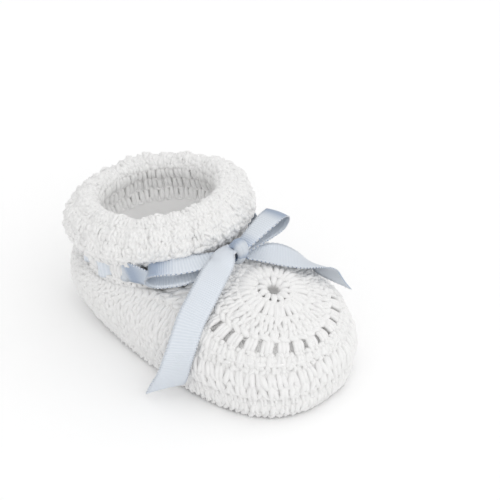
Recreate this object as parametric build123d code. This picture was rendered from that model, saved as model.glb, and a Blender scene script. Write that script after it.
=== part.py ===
from build123d import *
import math
import os

# A crocheted newborn bootie with a turned-down cuff and a ribbon tied in a bow.
# Millimetres. Origin: middle of the sole's underside. +X toe, +Y the wearer's left, +Z up.

# Driving dimensions
sole_length = 92.0
sole_half_width = 23.0
toe_widening = 0.077
sole_thickness = 3.2
wall = 2.6
widest_z = 9.0
dome_rise = 22.4
dome_power = 2.2
outline_power = 2.5
bulge_length = 1.03
bulge_width = 1.06

ankle_x = -18.0
ankle_z = 26.0
ankle_tilt = 9.0
ankle_radius = 22.0
heel_x = -22.0
heel_long_radius = 25.6
heel_low_radius = 22.2
heel_middle_radius = 23.2
heel_middle_z = 16.0
casing_half_height = 2.6
band_height = 1.8
post_count = 24
post_offset = 266.0
post_thickness = 1.6
band_start = 76.0
band_swing = 1.65

cuff_mouth_radius = 16.5
cuff_top = 13.2
cuff_flare_radius = 27.4
cuff_edge_radius = 26.8
cuff_overhang = 4.1
cuff_edge_height = 8.6
shell_count = 30

medallion_x = 24.5
medallion_z = 28.5
medallion_tilt = 25.0
hole_radius = 1.7
ring_radius = 5.0
spoke_radius = 12.8
rim_radius = 16.4
filet_radius = 20.2
spoke_count = 16
filet_count = 16
filet_step = 13.6
filet_post_width = 2.5
spoke_width = 1.35

instep_x = 10.0
vamp_low_z = 14.0
throat_x = 4.0
throat_z = 24.9
throat_slope = 31.0

ribbon_width = 8.0
ribbon_thickness = 0.5
knot_size = 6.6
knot_lean = 14.0
knot_x = 12.2
knot_z = 35.0

# Worked-out values
half_length = sole_length / 2
braid_width = 2.0
braid_bulge = 0.6
braid_round = 0.9
reach = 120.0

ankle_plane = Plane(
    origin=(ankle_x, 0, ankle_z),
    x_dir=(math.cos(math.radians(ankle_tilt)), 0, math.sin(math.radians(ankle_tilt))),
    z_dir=(-math.sin(math.radians(ankle_tilt)), 0, math.cos(math.radians(ankle_tilt))),
)
medallion_plane = Plane(
    origin=(medallion_x, 0, medallion_z),
    x_dir=(math.cos(math.radians(medallion_tilt)), 0, -math.sin(math.radians(medallion_tilt))),
    z_dir=(math.sin(math.radians(medallion_tilt)), 0, math.cos(math.radians(medallion_tilt))),
)


def signed_power(value, power):
    return math.copysign(abs(value) ** power, value)


def egg_outline(length_scale, width_scale, inset, z, shrink=1.0, steps=36):
    """Closed foot-shaped curve, wider towards the toe, at height z."""
    points = []
    for step in range(steps):
        turn = 2 * math.pi * step / steps
        x = (half_length * length_scale - inset) * signed_power(math.cos(turn), 2 / outline_power)
        half = (sole_half_width + toe_widening * x) * width_scale - inset
        y = half * signed_power(math.sin(turn), 2 / outline_power)
        points.append((x * shrink, y * shrink, z))
    return Wire(Edge.make_spline([Vector(*p) for p in points], periodic=True))


def foot_body(inset):
    """Closed body of the foot: upright walls that round over into the dome of the vamp."""
    rise = dome_rise - inset
    sections = [Face(egg_outline(1.0, 1.0, inset, sole_thickness))]
    for share in (0.0, 0.22, 0.42, 0.58, 0.72, 0.83, 0.91, 0.965):
        shrink = (1 - share ** dome_power) ** (1 / dome_power)
        height = widest_z + share * rise
        sections.append(Face(egg_outline(bulge_length, bulge_width, inset, height, shrink)))
    return loft(sections)


def ankle_body(inset):
    """Closed body that carries the round heel up to the ankle."""
    low = Plane.XY.offset(widest_z) * Pos(heel_x, 0) * Ellipse(heel_long_radius - inset, heel_low_radius - inset)
    middle_plane = Plane(
        origin=((heel_x + ankle_x) / 2 - 0.6, 0, heel_middle_z),
        x_dir=(1, 0, 0.06),
        z_dir=(-0.06, 0, 1),
    )
    middle = middle_plane * Ellipse(heel_long_radius - inset, heel_middle_radius - inset)
    top_offset = -casing_half_height - band_height
    top = ankle_plane.offset(top_offset) * Circle(ankle_radius + wall / 2 - inset)
    return loft([low, middle, top])


def above(plane):
    """Everything on the plane's positive side."""
    return plane * Pos(0, 0, reach / 2) * Box(reach * 2, reach * 2, reach)


def throat_wedge(drop):
    """Space over the casing plane and over the slope that rises from it to the vamp."""
    casing_floor = ankle_plane.offset(-casing_half_height - band_height - drop)
    slope = math.radians(throat_slope)
    slope_plane = Plane(
        origin=(throat_x, 0, throat_z - drop),
        x_dir=(math.cos(slope), 0, math.sin(slope)),
        z_dir=(-math.sin(slope), 0, math.cos(slope)),
    )
    return above(casing_floor) & above(slope_plane)


def ring_face(inner, outer):
    return Circle(outer) - Circle(inner) if inner > 0 else Circle(outer)


def about_ankle(inner, outer, low, high):
    return extrude(ankle_plane.offset(low) * ring_face(inner, outer), high - low)


def about_medallion(inner, outer):
    return extrude(medallion_plane.offset(-reach / 4) * ring_face(inner, outer), reach / 2)


def radial_bars(plane, angles, inner, outer, thickness, height):
    """Straight bars that point away from the plane's origin."""
    bars = []
    for angle in angles:
        bar = Pos((inner + outer) / 2, 0, 0) * Box(outer - inner, thickness, height)
        bars.append(plane * (Rot(0, 0, angle) * bar))
    return bars


def profile_ring(points):
    """Ring about the ankle axis from a closed profile of (radius, height) points."""
    profile_plane = Plane(origin=ankle_plane.origin, x_dir=ankle_plane.x_dir, z_dir=-ankle_plane.y_dir)
    face = profile_plane * make_face(Polyline(*points, close=True))
    return revolve(face, Axis(ankle_plane.origin, ankle_plane.z_dir), 360)


def tape(stations, straight=False):
    """Ribbon through (centre, width direction, width) stations."""
    centres = [Vector(*station[0]) for station in stations]
    sections = []
    for index, (centre, across, width) in enumerate(stations):
        before = centres[max(index - 1, 0)]
        after = centres[min(index + 1, len(centres) - 1)]
        along = (after - before).normalized()
        across = Vector(*across)
        across = (across - along * across.dot(along)).normalized()
        plane = Plane(origin=centres[index], x_dir=across, z_dir=along)
        sections.append(plane * Rectangle(width, ribbon_thickness))
    return loft(sections, ruled=straight)


def make_sole():
    plate = extrude(Face(egg_outline(1.0, 1.0, braid_width, 0)), sole_thickness)
    return plate


def make_sole_edge_braid():
    outer = extrude(Face(egg_outline(1.0, 1.0, -braid_bulge, 0)), sole_thickness)
    outer = fillet(outer.edges(), braid_round)
    inner = extrude(Face(egg_outline(1.0, 1.0, braid_width, -1)), sole_thickness + 2)
    return outer - inner


def make_foot_shell():
    outer = (foot_body(0) - throat_wedge(0)) + ankle_body(0)
    inner = (foot_body(wall) - throat_wedge(wall)) + ankle_body(wall)
    casing_floor = -casing_half_height - band_height
    ankle_hole = about_ankle(0, ankle_radius - wall / 2, -12, reach / 2)
    casing_seat = about_ankle(0, ankle_radius + wall / 2, casing_floor, reach / 2)
    return outer - inner - ankle_hole - casing_seat


def filet_angles():
    first = -filet_step * (filet_count - 1) / 2
    return [first + filet_step * index for index in range(filet_count)]


def filet_sector():
    """Front stretch of the medallion's surroundings, where the open row runs."""
    post_angle = math.degrees(filet_post_width / rim_radius)
    sweep = filet_step * (filet_count - 1) + post_angle + 2
    points = [(0, 0)]
    steps = 8
    for index in range(steps + 1):
        angle = math.radians(-sweep / 2 + sweep * index / steps)
        points.append((reach / 2 * math.cos(angle), reach / 2 * math.sin(angle)))
    sector = make_face(Polyline(*points, close=True))
    return extrude(medallion_plane.offset(-reach / 4) * sector, reach / 2)


def make_cuff_inner():
    low = casing_half_height + band_height
    low_radius = ankle_radius - wall / 2
    return profile_ring([
        (low_radius, low),
        (low_radius + wall, low),
        (low_radius + wall - 1.6, (low + cuff_top) / 2),
        (cuff_mouth_radius + wall, cuff_top),
        (cuff_mouth_radius, cuff_top),
        (low_radius - 1.6, (low + cuff_top) / 2),
    ])


def make_cuff_fold():
    """Rounded roll over the top, from the inner wall to the turned-down wall."""
    roll = (cuff_flare_radius - cuff_overhang - cuff_mouth_radius) / 2
    middle = cuff_mouth_radius + roll
    profile_plane = Plane(origin=ankle_plane.origin, x_dir=ankle_plane.x_dir, z_dir=-ankle_plane.y_dir)
    half_ring = Circle(roll) - Circle(roll - wall)
    upper_half = Pos(0, roll, 0) * Rectangle(4 * roll, 2 * roll)
    face = profile_plane * Pos(middle, cuff_top, 0) * (half_ring & upper_half)
    return revolve(face, Axis(ankle_plane.origin, ankle_plane.z_dir), 360)


def make_cuff_outer():
    start = cuff_flare_radius - cuff_overhang
    return profile_ring([
        (start - wall, cuff_top),
        (start, cuff_top),
        (start + 2.6, cuff_top - 1.6),
        (cuff_flare_radius, cuff_top - 3.2),
        (cuff_edge_radius, cuff_edge_height),
        (cuff_edge_radius - wall, cuff_edge_height),
        (cuff_flare_radius - wall, cuff_top - 3.4),
        (start + 2.6 - wall, cuff_top - 2.2),
    ])


def make_cuff_shell_edging():
    """Rounded shells that hang from the cuff's lower edge."""
    lobe_radius = math.pi * (cuff_edge_radius - wall / 2) / shell_count - 0.1
    shells = []
    half_disc = Circle(lobe_radius) & (Pos(0, -lobe_radius, 0) * Rectangle(3 * lobe_radius, 2 * lobe_radius))
    for index in range(shell_count):
        turn = 360 * (index + 0.5) / shell_count
        upright = Plane(origin=(cuff_edge_radius - wall, 0, cuff_edge_height), x_dir=(0, 1, 0), z_dir=(1, 0, 0))
        shell = extrude(upright * half_disc, wall - 0.2)
        shells.append(ankle_plane * (Rot(0, 0, turn) * shell))
    return shells


def make_ribbon_band():
    """Ribbon that weaves out and in between the casing posts, round the back of the ankle."""
    waves = post_count / 2
    steps = 100
    outer_points = []
    inner_points = []
    for index in range(steps + 1):
        angle = band_start + (360 - 2 * band_start) * index / steps
        radius = ankle_radius + band_swing * math.cos(math.radians(waves * (angle - post_offset)))
        turn = math.radians(angle)
        for points, shift in ((outer_points, 0.5), (inner_points, -0.5)):
            distance = radius + shift * ribbon_thickness
            points.append((distance * math.cos(turn), distance * math.sin(turn)))
    outer = Spline(*outer_points)
    inner = Spline(*inner_points)
    ends = [Line(outer @ 0, inner @ 0), Line(outer @ 1, inner @ 1)]
    strip = make_face([outer, inner] + ends)
    height = 2 * casing_half_height - 0.4
    return extrude(ankle_plane.offset(-height / 2) * strip, height)


def ankle_point(angle, radius, height):
    turn = math.radians(angle)
    place = ankle_plane.from_local_coords(Vector(radius * math.cos(turn), radius * math.sin(turn), height))
    return tuple(place)


def make_ribbon_front(side):
    """Ribbon from the casing to the knot; side is -1 on the wearer's right, 1 on the left."""
    up = (0.0, 0.0, 1.0)
    leave = ankle_point(side * 72, ankle_radius + 2.4, -0.2)
    return tape([
        (leave, up, 4.4),
        ((-6.2, side * 21.7, 27.4), up, 5.0),
        ((0.6, side * 19.2, 28.6), up, 2.6),
        ((6.6, side * 13.8, 29.6), up, 2.0),
        ((knot_x - 2.0, side * (knot_size / 2 + 0.05), knot_z - 3.2), up, 1.5),
    ])


def make_knot():
    knot = Box(knot_size, knot_size, knot_size)
    knot = fillet(knot.edges(), knot_size / 3)
    return Pos(knot_x, 0, knot_z) * (Rot(0, knot_lean, 0) * knot)


def loop_tape(spine, fold_radius):
    """Flattened loop: out along the top of the spine, round the fold and back underneath.

    The spine is a list of (centre, width direction, half gap, width) from the knot to the fold.
    """
    up = Vector(0, 0, 1)
    top = [(tuple(Vector(*centre) + up * gap), across, width) for centre, across, gap, width in spine]
    bottom = [(tuple(Vector(*centre) - up * gap), across, width) for centre, across, gap, width in reversed(spine)]
    before, last = Vector(*spine[-2][0]), Vector(*spine[-1][0])
    run = (last - before).normalized()
    across, width = spine[-1][1], spine[-1][3]
    fold = []
    for angle in (60, 30, 0, -30, -60):
        turn = math.radians(angle)
        fold.append((tuple(last + run * fold_radius * math.cos(turn) + up * fold_radius * math.sin(turn)),
                     across, width))
    return tape(top + fold + bottom, straight=True)


def from_ankle(x, y, lean):
    """Direction away from the ankle's axis at (x, y), rising by lean."""
    outward = Vector(x - ankle_x, y, 0).normalized()
    return tuple(outward + Vector(0, 0, lean))


def make_loop_right():
    """Loop that curves back along the ankle, under the cuff's edge."""
    spine = []
    for x, y, z, gap, width in (
        (11.2, -4.1, 34.2, 0.5, 2.6),
        (9.3, -9.0, 34.1, 0.8, 4.6),
        (6.2, -14.9, 33.8, 1.1, 6.4),
        (1.8, -19.7, 33.0, 1.2, 6.8),
        (-0.6, -21.7, 32.6, 1.2, 6.8),
    ):
        spine.append(((x, y, z), from_ankle(x, y, 0.2), gap, width))
    return loop_tape(spine, 1.2)


def make_loop_left():
    """Loop that stands up on the wearer's left."""
    across = (0.99, 0.11, 0.07)
    return loop_tape([
        ((12.2, 4.2, 36.4), across, 0.6, 2.8),
        ((12.3, 8.0, 37.5), across, 1.3, 5.2),
        ((12.4, 12.0, 38.6), across, 1.6, 7.0),
        ((12.4, 14.6, 39.3), across, 1.6, 7.2),
    ], 1.6)


def make_tail_right():
    """Tail that rises over the knot's side and hangs down the foot."""
    facing = (0.9, 0.36, -0.12)
    return tape([
        ((11.9, -4.2, 37.2), (1, 0.05, -0.1), 2.6),
        ((13.0, -6.0, 38.2), (0.9, 0.4, 0), 5.2),
        ((14.9, -9.3, 37.4), facing, 6.6),
        ((15.0, -12.8, 34.4), facing, 7.8),
        ((15.8, -17.6, 30.4), facing, ribbon_width),
        ((16.2, -22.8, 25.0), facing, ribbon_width),
        ((16.6, -27.4, 16.8), facing, ribbon_width),
        ((15.6, -29.4, 10.2), (0.88, 0.4, -0.2), ribbon_width),
        ((13.8, -30.8, 4.8), (0.85, 0.45, -0.25), ribbon_width),
    ])


def make_tail_left():
    """Tail that runs forward past the medallion and turns over towards its tip."""
    return tape([
        ((15.6, 3.75, 33.4), (-0.6, 0.8, 0), 2.8),
        ((18.2, 8.2, 32.8), (-0.72, 0.69, -0.05), 6.0),
        ((24.0, 14.2, 30.4), (-0.69, 0.66, -0.3), ribbon_width),
        ((28.6, 19.0, 26.6), (-0.5, 0.48, -0.72), ribbon_width),
        ((31.6, 22.2, 22.8), (-0.36, 0.35, -0.87), ribbon_width),
    ])


def make_parts():
    shell = make_foot_shell()
    split = Plane(origin=(instep_x, 0, 0), x_dir=(0, 1, 0), z_dir=(1, 0, 0))
    front = above(split)
    filet_zone = about_medallion(rim_radius, filet_radius) & filet_sector()
    disc_zone = about_medallion(0, rim_radius)
    toe_shell = shell & front
    top_only = above(Plane.XY.offset(vamp_low_z))
    post_angles = [post_offset + 360 * index / post_count for index in range(post_count)]
    spoke_angles = [360 * (index + 0.5) / spoke_count for index in range(spoke_count)]
    upper = toe_shell & top_only
    spokes = [upper & bar for bar in
              radial_bars(medallion_plane, spoke_angles, ring_radius, spoke_radius - 0.03, spoke_width, reach / 4)]
    filet_posts = [upper & bar for bar in
                   radial_bars(medallion_plane, filet_angles(), rim_radius, filet_radius - 0.06, filet_post_width, reach / 2)]
    return {
        "sole": make_sole(),
        "sole_edge_braid": make_sole_edge_braid(),
        "heel_wall": shell - front,
        "toe_wall": toe_shell - (filet_zone & top_only) - (disc_zone & top_only),
        "vamp_filet_posts": filet_posts,
        "medallion_rim": upper & about_medallion(spoke_radius, rim_radius),
        "medallion_spokes": spokes,
        "medallion_ring": upper & about_medallion(hole_radius, ring_radius),
        "casing_lower_band": about_ankle(ankle_radius - wall / 2, ankle_radius + wall / 2,
                                         -casing_half_height - band_height, -casing_half_height),
        "casing_posts": radial_bars(ankle_plane, post_angles, ankle_radius - 1, ankle_radius + 1, post_thickness,
                                    2 * casing_half_height),
        "casing_upper_band": about_ankle(ankle_radius - wall / 2, ankle_radius + wall / 2,
                                         casing_half_height, casing_half_height + band_height),
        "cuff_inner": make_cuff_inner(),
        "cuff_fold": make_cuff_fold(),
        "cuff_outer": make_cuff_outer(),
        "cuff_shell_edging": make_cuff_shell_edging(),
        "ribbon_band": make_ribbon_band(),
        "ribbon_front_right": make_ribbon_front(-1),
        "ribbon_front_left": make_ribbon_front(1),
        "ribbon_knot": make_knot(),
        "bow_loop_right": make_loop_right(),
        "bow_loop_left": make_loop_left(),
        "ribbon_tail_right": make_tail_right(),
        "ribbon_tail_left": make_tail_left(),
    }


os.makedirs("parts", exist_ok=True)
for name, shape in make_parts().items():
    if isinstance(shape, list):
        solids = []
        for piece in shape:
            solids.extend(piece.solids())
        shape = Compound(children=solids)
    export_step(shape, f"parts/{name}.step")
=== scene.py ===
import math

import bpy
import numpy as np
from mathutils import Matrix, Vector


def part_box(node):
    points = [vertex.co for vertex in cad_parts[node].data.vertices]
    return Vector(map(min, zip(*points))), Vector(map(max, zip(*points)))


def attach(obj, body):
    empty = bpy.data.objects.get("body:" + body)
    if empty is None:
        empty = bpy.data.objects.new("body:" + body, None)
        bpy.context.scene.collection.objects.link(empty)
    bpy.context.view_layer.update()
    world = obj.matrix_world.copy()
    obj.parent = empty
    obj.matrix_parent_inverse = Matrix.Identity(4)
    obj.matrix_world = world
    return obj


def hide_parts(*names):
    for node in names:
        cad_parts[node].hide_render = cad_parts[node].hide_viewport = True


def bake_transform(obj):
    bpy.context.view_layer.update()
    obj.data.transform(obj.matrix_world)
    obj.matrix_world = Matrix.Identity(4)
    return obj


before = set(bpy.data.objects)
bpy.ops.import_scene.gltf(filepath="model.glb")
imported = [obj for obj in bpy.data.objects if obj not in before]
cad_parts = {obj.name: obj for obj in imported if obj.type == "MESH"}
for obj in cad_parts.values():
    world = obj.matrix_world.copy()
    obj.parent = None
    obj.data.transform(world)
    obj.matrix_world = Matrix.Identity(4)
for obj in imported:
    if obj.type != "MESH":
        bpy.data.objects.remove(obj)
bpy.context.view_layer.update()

# Millimetres are used for every size below; a mesh is turned into metres when it is made.
METRE = 0.001


def node_box(node):
    """Lowest and highest corner of a CAD node, in millimetres."""
    low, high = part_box(node)
    return np.array(low) / METRE, np.array(high) / METRE


# Driving dimensions: the first ones come from the frame, and the curves below are given one by one.
braid_low, braid_high = node_box("sole_edge_braid")
knot_low, knot_high = node_box("ribbon_knot")
rim_low, rim_high = node_box("medallion_rim")
lower_low, lower_high = node_box("casing_lower_band")
upper_low, upper_high = node_box("casing_upper_band")

braid_overhang = 0.6
half_length = (braid_high[0] - braid_low[0]) / 2 - braid_overhang
half_width = 0.5 * half_length
sole_thickness = node_box("sole")[1][2]
knot_centre = (knot_low + knot_high) / 2
casing_half_wall = 1.3
ankle_radius = (lower_high[1] - lower_low[1]) / 2 - casing_half_wall
ankle_tilt = math.radians(9.0)
ankle_centre = (lower_low + lower_high + upper_low + upper_high) / 4
medallion_tilt = math.radians(25.0)
medallion_centre = np.array([(rim_low[0] + rim_high[0]) / 2 + 1.0, 0.0, 28.5])

outline_power = 2.5
toe_widening = 0.077
widest_z = 9.0
dome_rise = 22.4
dome_power = 2.2
bulge_length = 1.03
bulge_width = 1.06
throat_slope = math.radians(31.0)
throat_point = np.array([2.0, 0.0, 24.9])

casing_reach = 4.4
post_count = 24
post_offset = math.radians(266.0)
post_step = 2 * math.pi / post_count
post_half_height = 2.6
front_half_angle = 76

spoke_count = 16
hole_radius = 1.7
ring_radius = 5.0
spoke_radius = 12.4
rim_radius = 16.4
filet_radius = 20.2
filet_step = math.radians(13.6)
filet_count = 16
filet_reach = math.radians(108.0)

yarn_radius = 0.76
stitch_width = 2.75
ribbon_width = 8.0
ribbon_thickness = 0.34

chance = np.random.default_rng(7)


# Surfaces

def unit(vectors):
    return vectors / np.maximum(np.linalg.norm(vectors, axis=-1, keepdims=True), 1e-9)


def full_turn(samples):
    return np.linspace(0, 2 * np.pi, samples, endpoint=False)


class Sheet:
    """Surface held as a grid of points: u runs round or along it, v across it."""

    def __init__(self, points, closed, inward=False):
        self.points = points
        self.closed = closed
        if closed:
            along = np.roll(points, -1, axis=0) - np.roll(points, 1, axis=0)
        else:
            along = np.gradient(points, axis=0)
        across = np.gradient(points, axis=1)
        self.normals = unit(np.cross(along, across))
        if inward:
            self.normals = -self.normals

    def at(self, u, v, height=0.0):
        """Points at (u, v), lifted off the surface by height."""
        u, v, height = np.broadcast_arrays(u, v, height)
        rounds, rows = self.points.shape[:2]
        row = np.clip(v, 0, 1) * (rows - 1)
        row_low = np.minimum(np.floor(row).astype(int), rows - 2)
        row_part = (row - row_low)[..., None]
        steps = rounds if self.closed else rounds - 1
        turn = (u % 1.0 if self.closed else np.clip(u, 0, 1)) * steps
        turn_low = np.minimum(np.floor(turn).astype(int), steps - 1)
        turn_high = (turn_low + 1) % rounds
        turn_part = (turn - turn_low)[..., None]

        def mix(grid):
            low = grid[turn_low, row_low] * (1 - turn_part) + grid[turn_high, row_low] * turn_part
            high = grid[turn_low, row_low + 1] * (1 - turn_part) + grid[turn_high, row_low + 1] * turn_part
            return low * (1 - row_part) + high * row_part

        return mix(self.points) + unit(mix(self.normals)) * height[..., None]


def signed_power(value, power):
    return np.sign(value) * np.abs(value) ** power


def egg_outline(long, wide, inset, samples=720):
    """Foot-shaped outline, wider towards the toe, as (x, y) points from the toe round by the left."""
    turn = full_turn(samples)
    x = (half_length * long - inset) * signed_power(np.cos(turn), 2 / outline_power)
    half = np.maximum((half_width + toe_widening * x) * wide - inset, 0.05)
    y = half * signed_power(np.sin(turn), 2 / outline_power)
    return np.stack([x, y], axis=1)


def even_steps(points, samples, closed=True):
    """The same curve with its points the same distance apart."""
    loop = np.concatenate([points, points[:1]]) if closed else points
    steps = np.linalg.norm(np.diff(loop, axis=0), axis=1)
    run = np.concatenate([[0], np.cumsum(steps)])
    goal = np.linspace(0, run[-1], samples, endpoint=not closed)
    return np.stack([np.interp(goal, run, loop[:, axis]) for axis in range(loop.shape[1])], axis=1)


def dome_shrink(z):
    share = np.clip((z - widest_z) / dome_rise, 0, 0.999)
    return (1 - share ** dome_power) ** (1 / dome_power)


def dome_excess(point):
    """Below zero inside the rounded foot body, above zero outside."""
    shrink = dome_shrink(point[..., 2])
    long = half_length * bulge_length * shrink
    wide = (half_width + toe_widening * point[..., 0] / shrink) * bulge_width * shrink
    size = (np.abs(point[..., 0]) / long) ** outline_power + (np.abs(point[..., 1]) / wide) ** outline_power
    body_scale, crease = 20.0, 1.5
    rounded = (size ** (1 / outline_power) - 1) * body_scale
    slope = (point[..., 2] - throat_point[2]) * math.cos(throat_slope)
    slope = slope - (point[..., 0] - throat_point[0]) * math.sin(throat_slope)
    return np.logaddexp(rounded * crease, slope * crease) / crease


def about_axis(centre, tilt, angle, radius, height):
    """Point at an angle, radius and height about an axis through centre, tilted towards the toe."""
    forward = np.array([math.cos(tilt), 0, -math.sin(tilt)])
    sideways = np.array([0.0, 1.0, 0.0])
    axis = np.array([math.sin(tilt), 0, math.cos(tilt)])
    angle, radius, height = np.broadcast_arrays(angle, radius, height)
    point = centre + (radius * np.cos(angle))[..., None] * forward
    return point + (radius * np.sin(angle))[..., None] * sideways + height[..., None] * axis


def vamp_point(angle, radius):
    """Point of the vamp at a polar place round the medallion's middle."""
    angle, radius = np.broadcast_arrays(angle, radius)
    low = np.full(angle.shape, -22.0)
    high = np.full(angle.shape, 8.0)
    for _ in range(26):
        middle = (low + high) / 2
        outside = dome_excess(about_axis(medallion_centre, medallion_tilt, angle, radius, middle)) > 0
        high = np.where(outside, middle, high)
        low = np.where(outside, low, middle)
    return about_axis(medallion_centre, medallion_tilt, angle, radius, low)


def ankle_point(angle, radius, height):
    return about_axis(ankle_centre, -ankle_tilt, angle, radius, height)


def smooth_through(points, samples):
    """Catmull-Rom curve through stacked points (count, ..., 3), between the second and the last but one."""
    count = len(points)
    goal = np.linspace(1, count - 2, samples)
    result = []
    for place in goal:
        index = min(int(place), count - 3)
        t = place - index
        a, b, c, d = points[index - 1], points[index], points[index + 1], points[index + 2]
        bend = (2 * a - 5 * b + 4 * c - d) * t ** 2 + (3 * b - a - 3 * c + d) * t ** 3
        result.append(0.5 * (2 * b + (c - a) * t + bend))
    return np.stack(result)


def merged_outline(shrink, ellipse_centre, ellipse_long, ellipse_wide, z):
    """Outline round both the egg-shaped foot and the round ankle, seen from above."""
    pole = np.array([-6.0, 0.0])
    samples = 1440
    angles = np.linspace(-np.pi, np.pi, samples + 1)

    def polar(points):
        offset = points - pole
        bearing = np.arctan2(offset[:, 1], offset[:, 0])
        order = np.argsort(bearing)
        reach = np.linalg.norm(offset, axis=1)
        return np.interp(angles, bearing[order], reach[order], period=2 * np.pi)

    foot = polar(egg_outline(bulge_length, bulge_width, 0) * shrink)
    turn = full_turn(720)
    ellipse = [ellipse_centre + ellipse_long * np.cos(turn), ellipse_wide * np.sin(turn)]
    ankle = polar(np.stack(ellipse, axis=1))
    crispness, slimming = 14, 2 ** (-1 / 40)
    reach = (foot ** crispness + ankle ** crispness) ** (1 / crispness) * slimming
    start = np.argmin(np.abs(angles))
    order = (np.arange(samples) + start) % samples
    x = pole[0] + reach[order] * np.cos(angles[order])
    y = reach[order] * np.sin(angles[order])
    return np.stack([x, y, np.full(samples, z)], axis=1)


def top_edge(back_radius, back_height, arc_radius, samples):
    """Upper edge of the wall: round the front of the medallion, then round the back of the ankle."""
    arc = vamp_point(np.linspace(0, filet_reach, 60), arc_radius)
    ring = ankle_point(np.linspace(math.radians(64), math.pi, 60), back_radius, back_height)
    gap = np.linalg.norm(ring[0] - arc[-1])
    leave = unit(arc[-1] - arc[-2]) * gap
    arrive = unit(ring[1] - ring[0]) * gap
    t = np.linspace(0, 1, 14)[1:-1, None]
    join = ((2 * t ** 3 - 3 * t ** 2 + 1) * arc[-1] + (t ** 3 - 2 * t ** 2 + t) * leave
            + (-2 * t ** 3 + 3 * t ** 2) * ring[0] + (t ** 3 - t ** 2) * arrive)
    half = even_steps(np.concatenate([arc, join, ring]), samples // 2 + 1, closed=False)
    other_half = half[-2:0:-1] * np.array([1, -1, 1])
    return np.concatenate([half, other_half])


def wall_sheet(samples=720):
    low = np.column_stack([egg_outline(1.0, 1.0, 1.5), np.full(720, 0.4)])
    edge = np.column_stack([egg_outline(1.0, 1.0, 0.0), np.full(720, sole_thickness - 0.3)])
    belly = merged_outline(1.0, -22.0, 25.4, 22.2, widest_z)
    shoulder_z = 16.0
    shoulder = merged_outline(float(dome_shrink(np.array(shoulder_z))), -20.8, 25.8, 23.4, shoulder_z)
    top = top_edge(ankle_radius + 1.0, -casing_reach, filet_radius, samples)
    beyond = top_edge(ankle_radius + 1.0, casing_reach, filet_radius - 6, samples)
    curves = [even_steps(curve, samples) for curve in (low, edge, belly, shoulder)] + [top, beyond]
    grid = smooth_through(np.stack(curves), 73)
    return Sheet(np.swapaxes(grid, 0, 1), closed=True)


def vamp_sheet(inner, outer, rounds=360, rows=40):
    angle = full_turn(rounds)[:, None]
    radius = np.linspace(inner, outer, rows)[None, :]
    return Sheet(vamp_point(angle, radius), closed=True, inward=True)


def ankle_sheet(profile, rounds=480, rows=60, lump=0.0, notch=0.0, inward=False):
    """Surface of revolution about the ankle's axis from (radius, height) points.

    Lump makes it softly uneven, and notch dips it at the front right.
    """
    profile = np.array(profile, float)
    dense = smooth_through(profile, 200)
    dense = even_steps(dense, rows, closed=False)
    angle = full_turn(rounds)[:, None]
    wave = 0.7 * np.sin(angle * 5 + 1.0) + 0.6 * np.sin(angle * 9 + 2.2) + np.sin(angle * 23)
    share = np.linspace(0, 1, rows)[None, :]
    swell = lump * wave * np.sin(np.pi * share) ** 0.5
    away = np.angle(np.exp(1j * (angle - math.radians(-60))))
    dip = notch * np.exp(-(away / math.radians(6)) ** 2) * np.sin(np.pi * share)
    radius = dense[None, :, 0] + 0.7 * swell
    height = dense[None, :, 1] + 0.9 * swell - dip
    return Sheet(ankle_point(angle, radius, height), closed=True, inward=inward)


def with_puffs(sheet, columns, tiers, depth):
    """The same sheet, swollen into columns of plump puffs; every other tier is staggered."""
    rounds, rows = sheet.points.shape[:2]
    u = (np.arange(rounds) / rounds)[:, None]
    v = (np.linspace(0, 1, rows) * tiers)[None, :]
    stagger = 0.5 * (np.floor(v) % 2)
    round_part = np.abs(np.sin(np.pi * (columns * u + stagger))) ** 0.7
    row_part = np.abs(np.sin(np.pi * v)) ** 0.5
    points = sheet.points + sheet.normals * (depth * round_part * row_part)[..., None]
    return Sheet(points, closed=sheet.closed, inward=True)


# Mesh making

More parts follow.
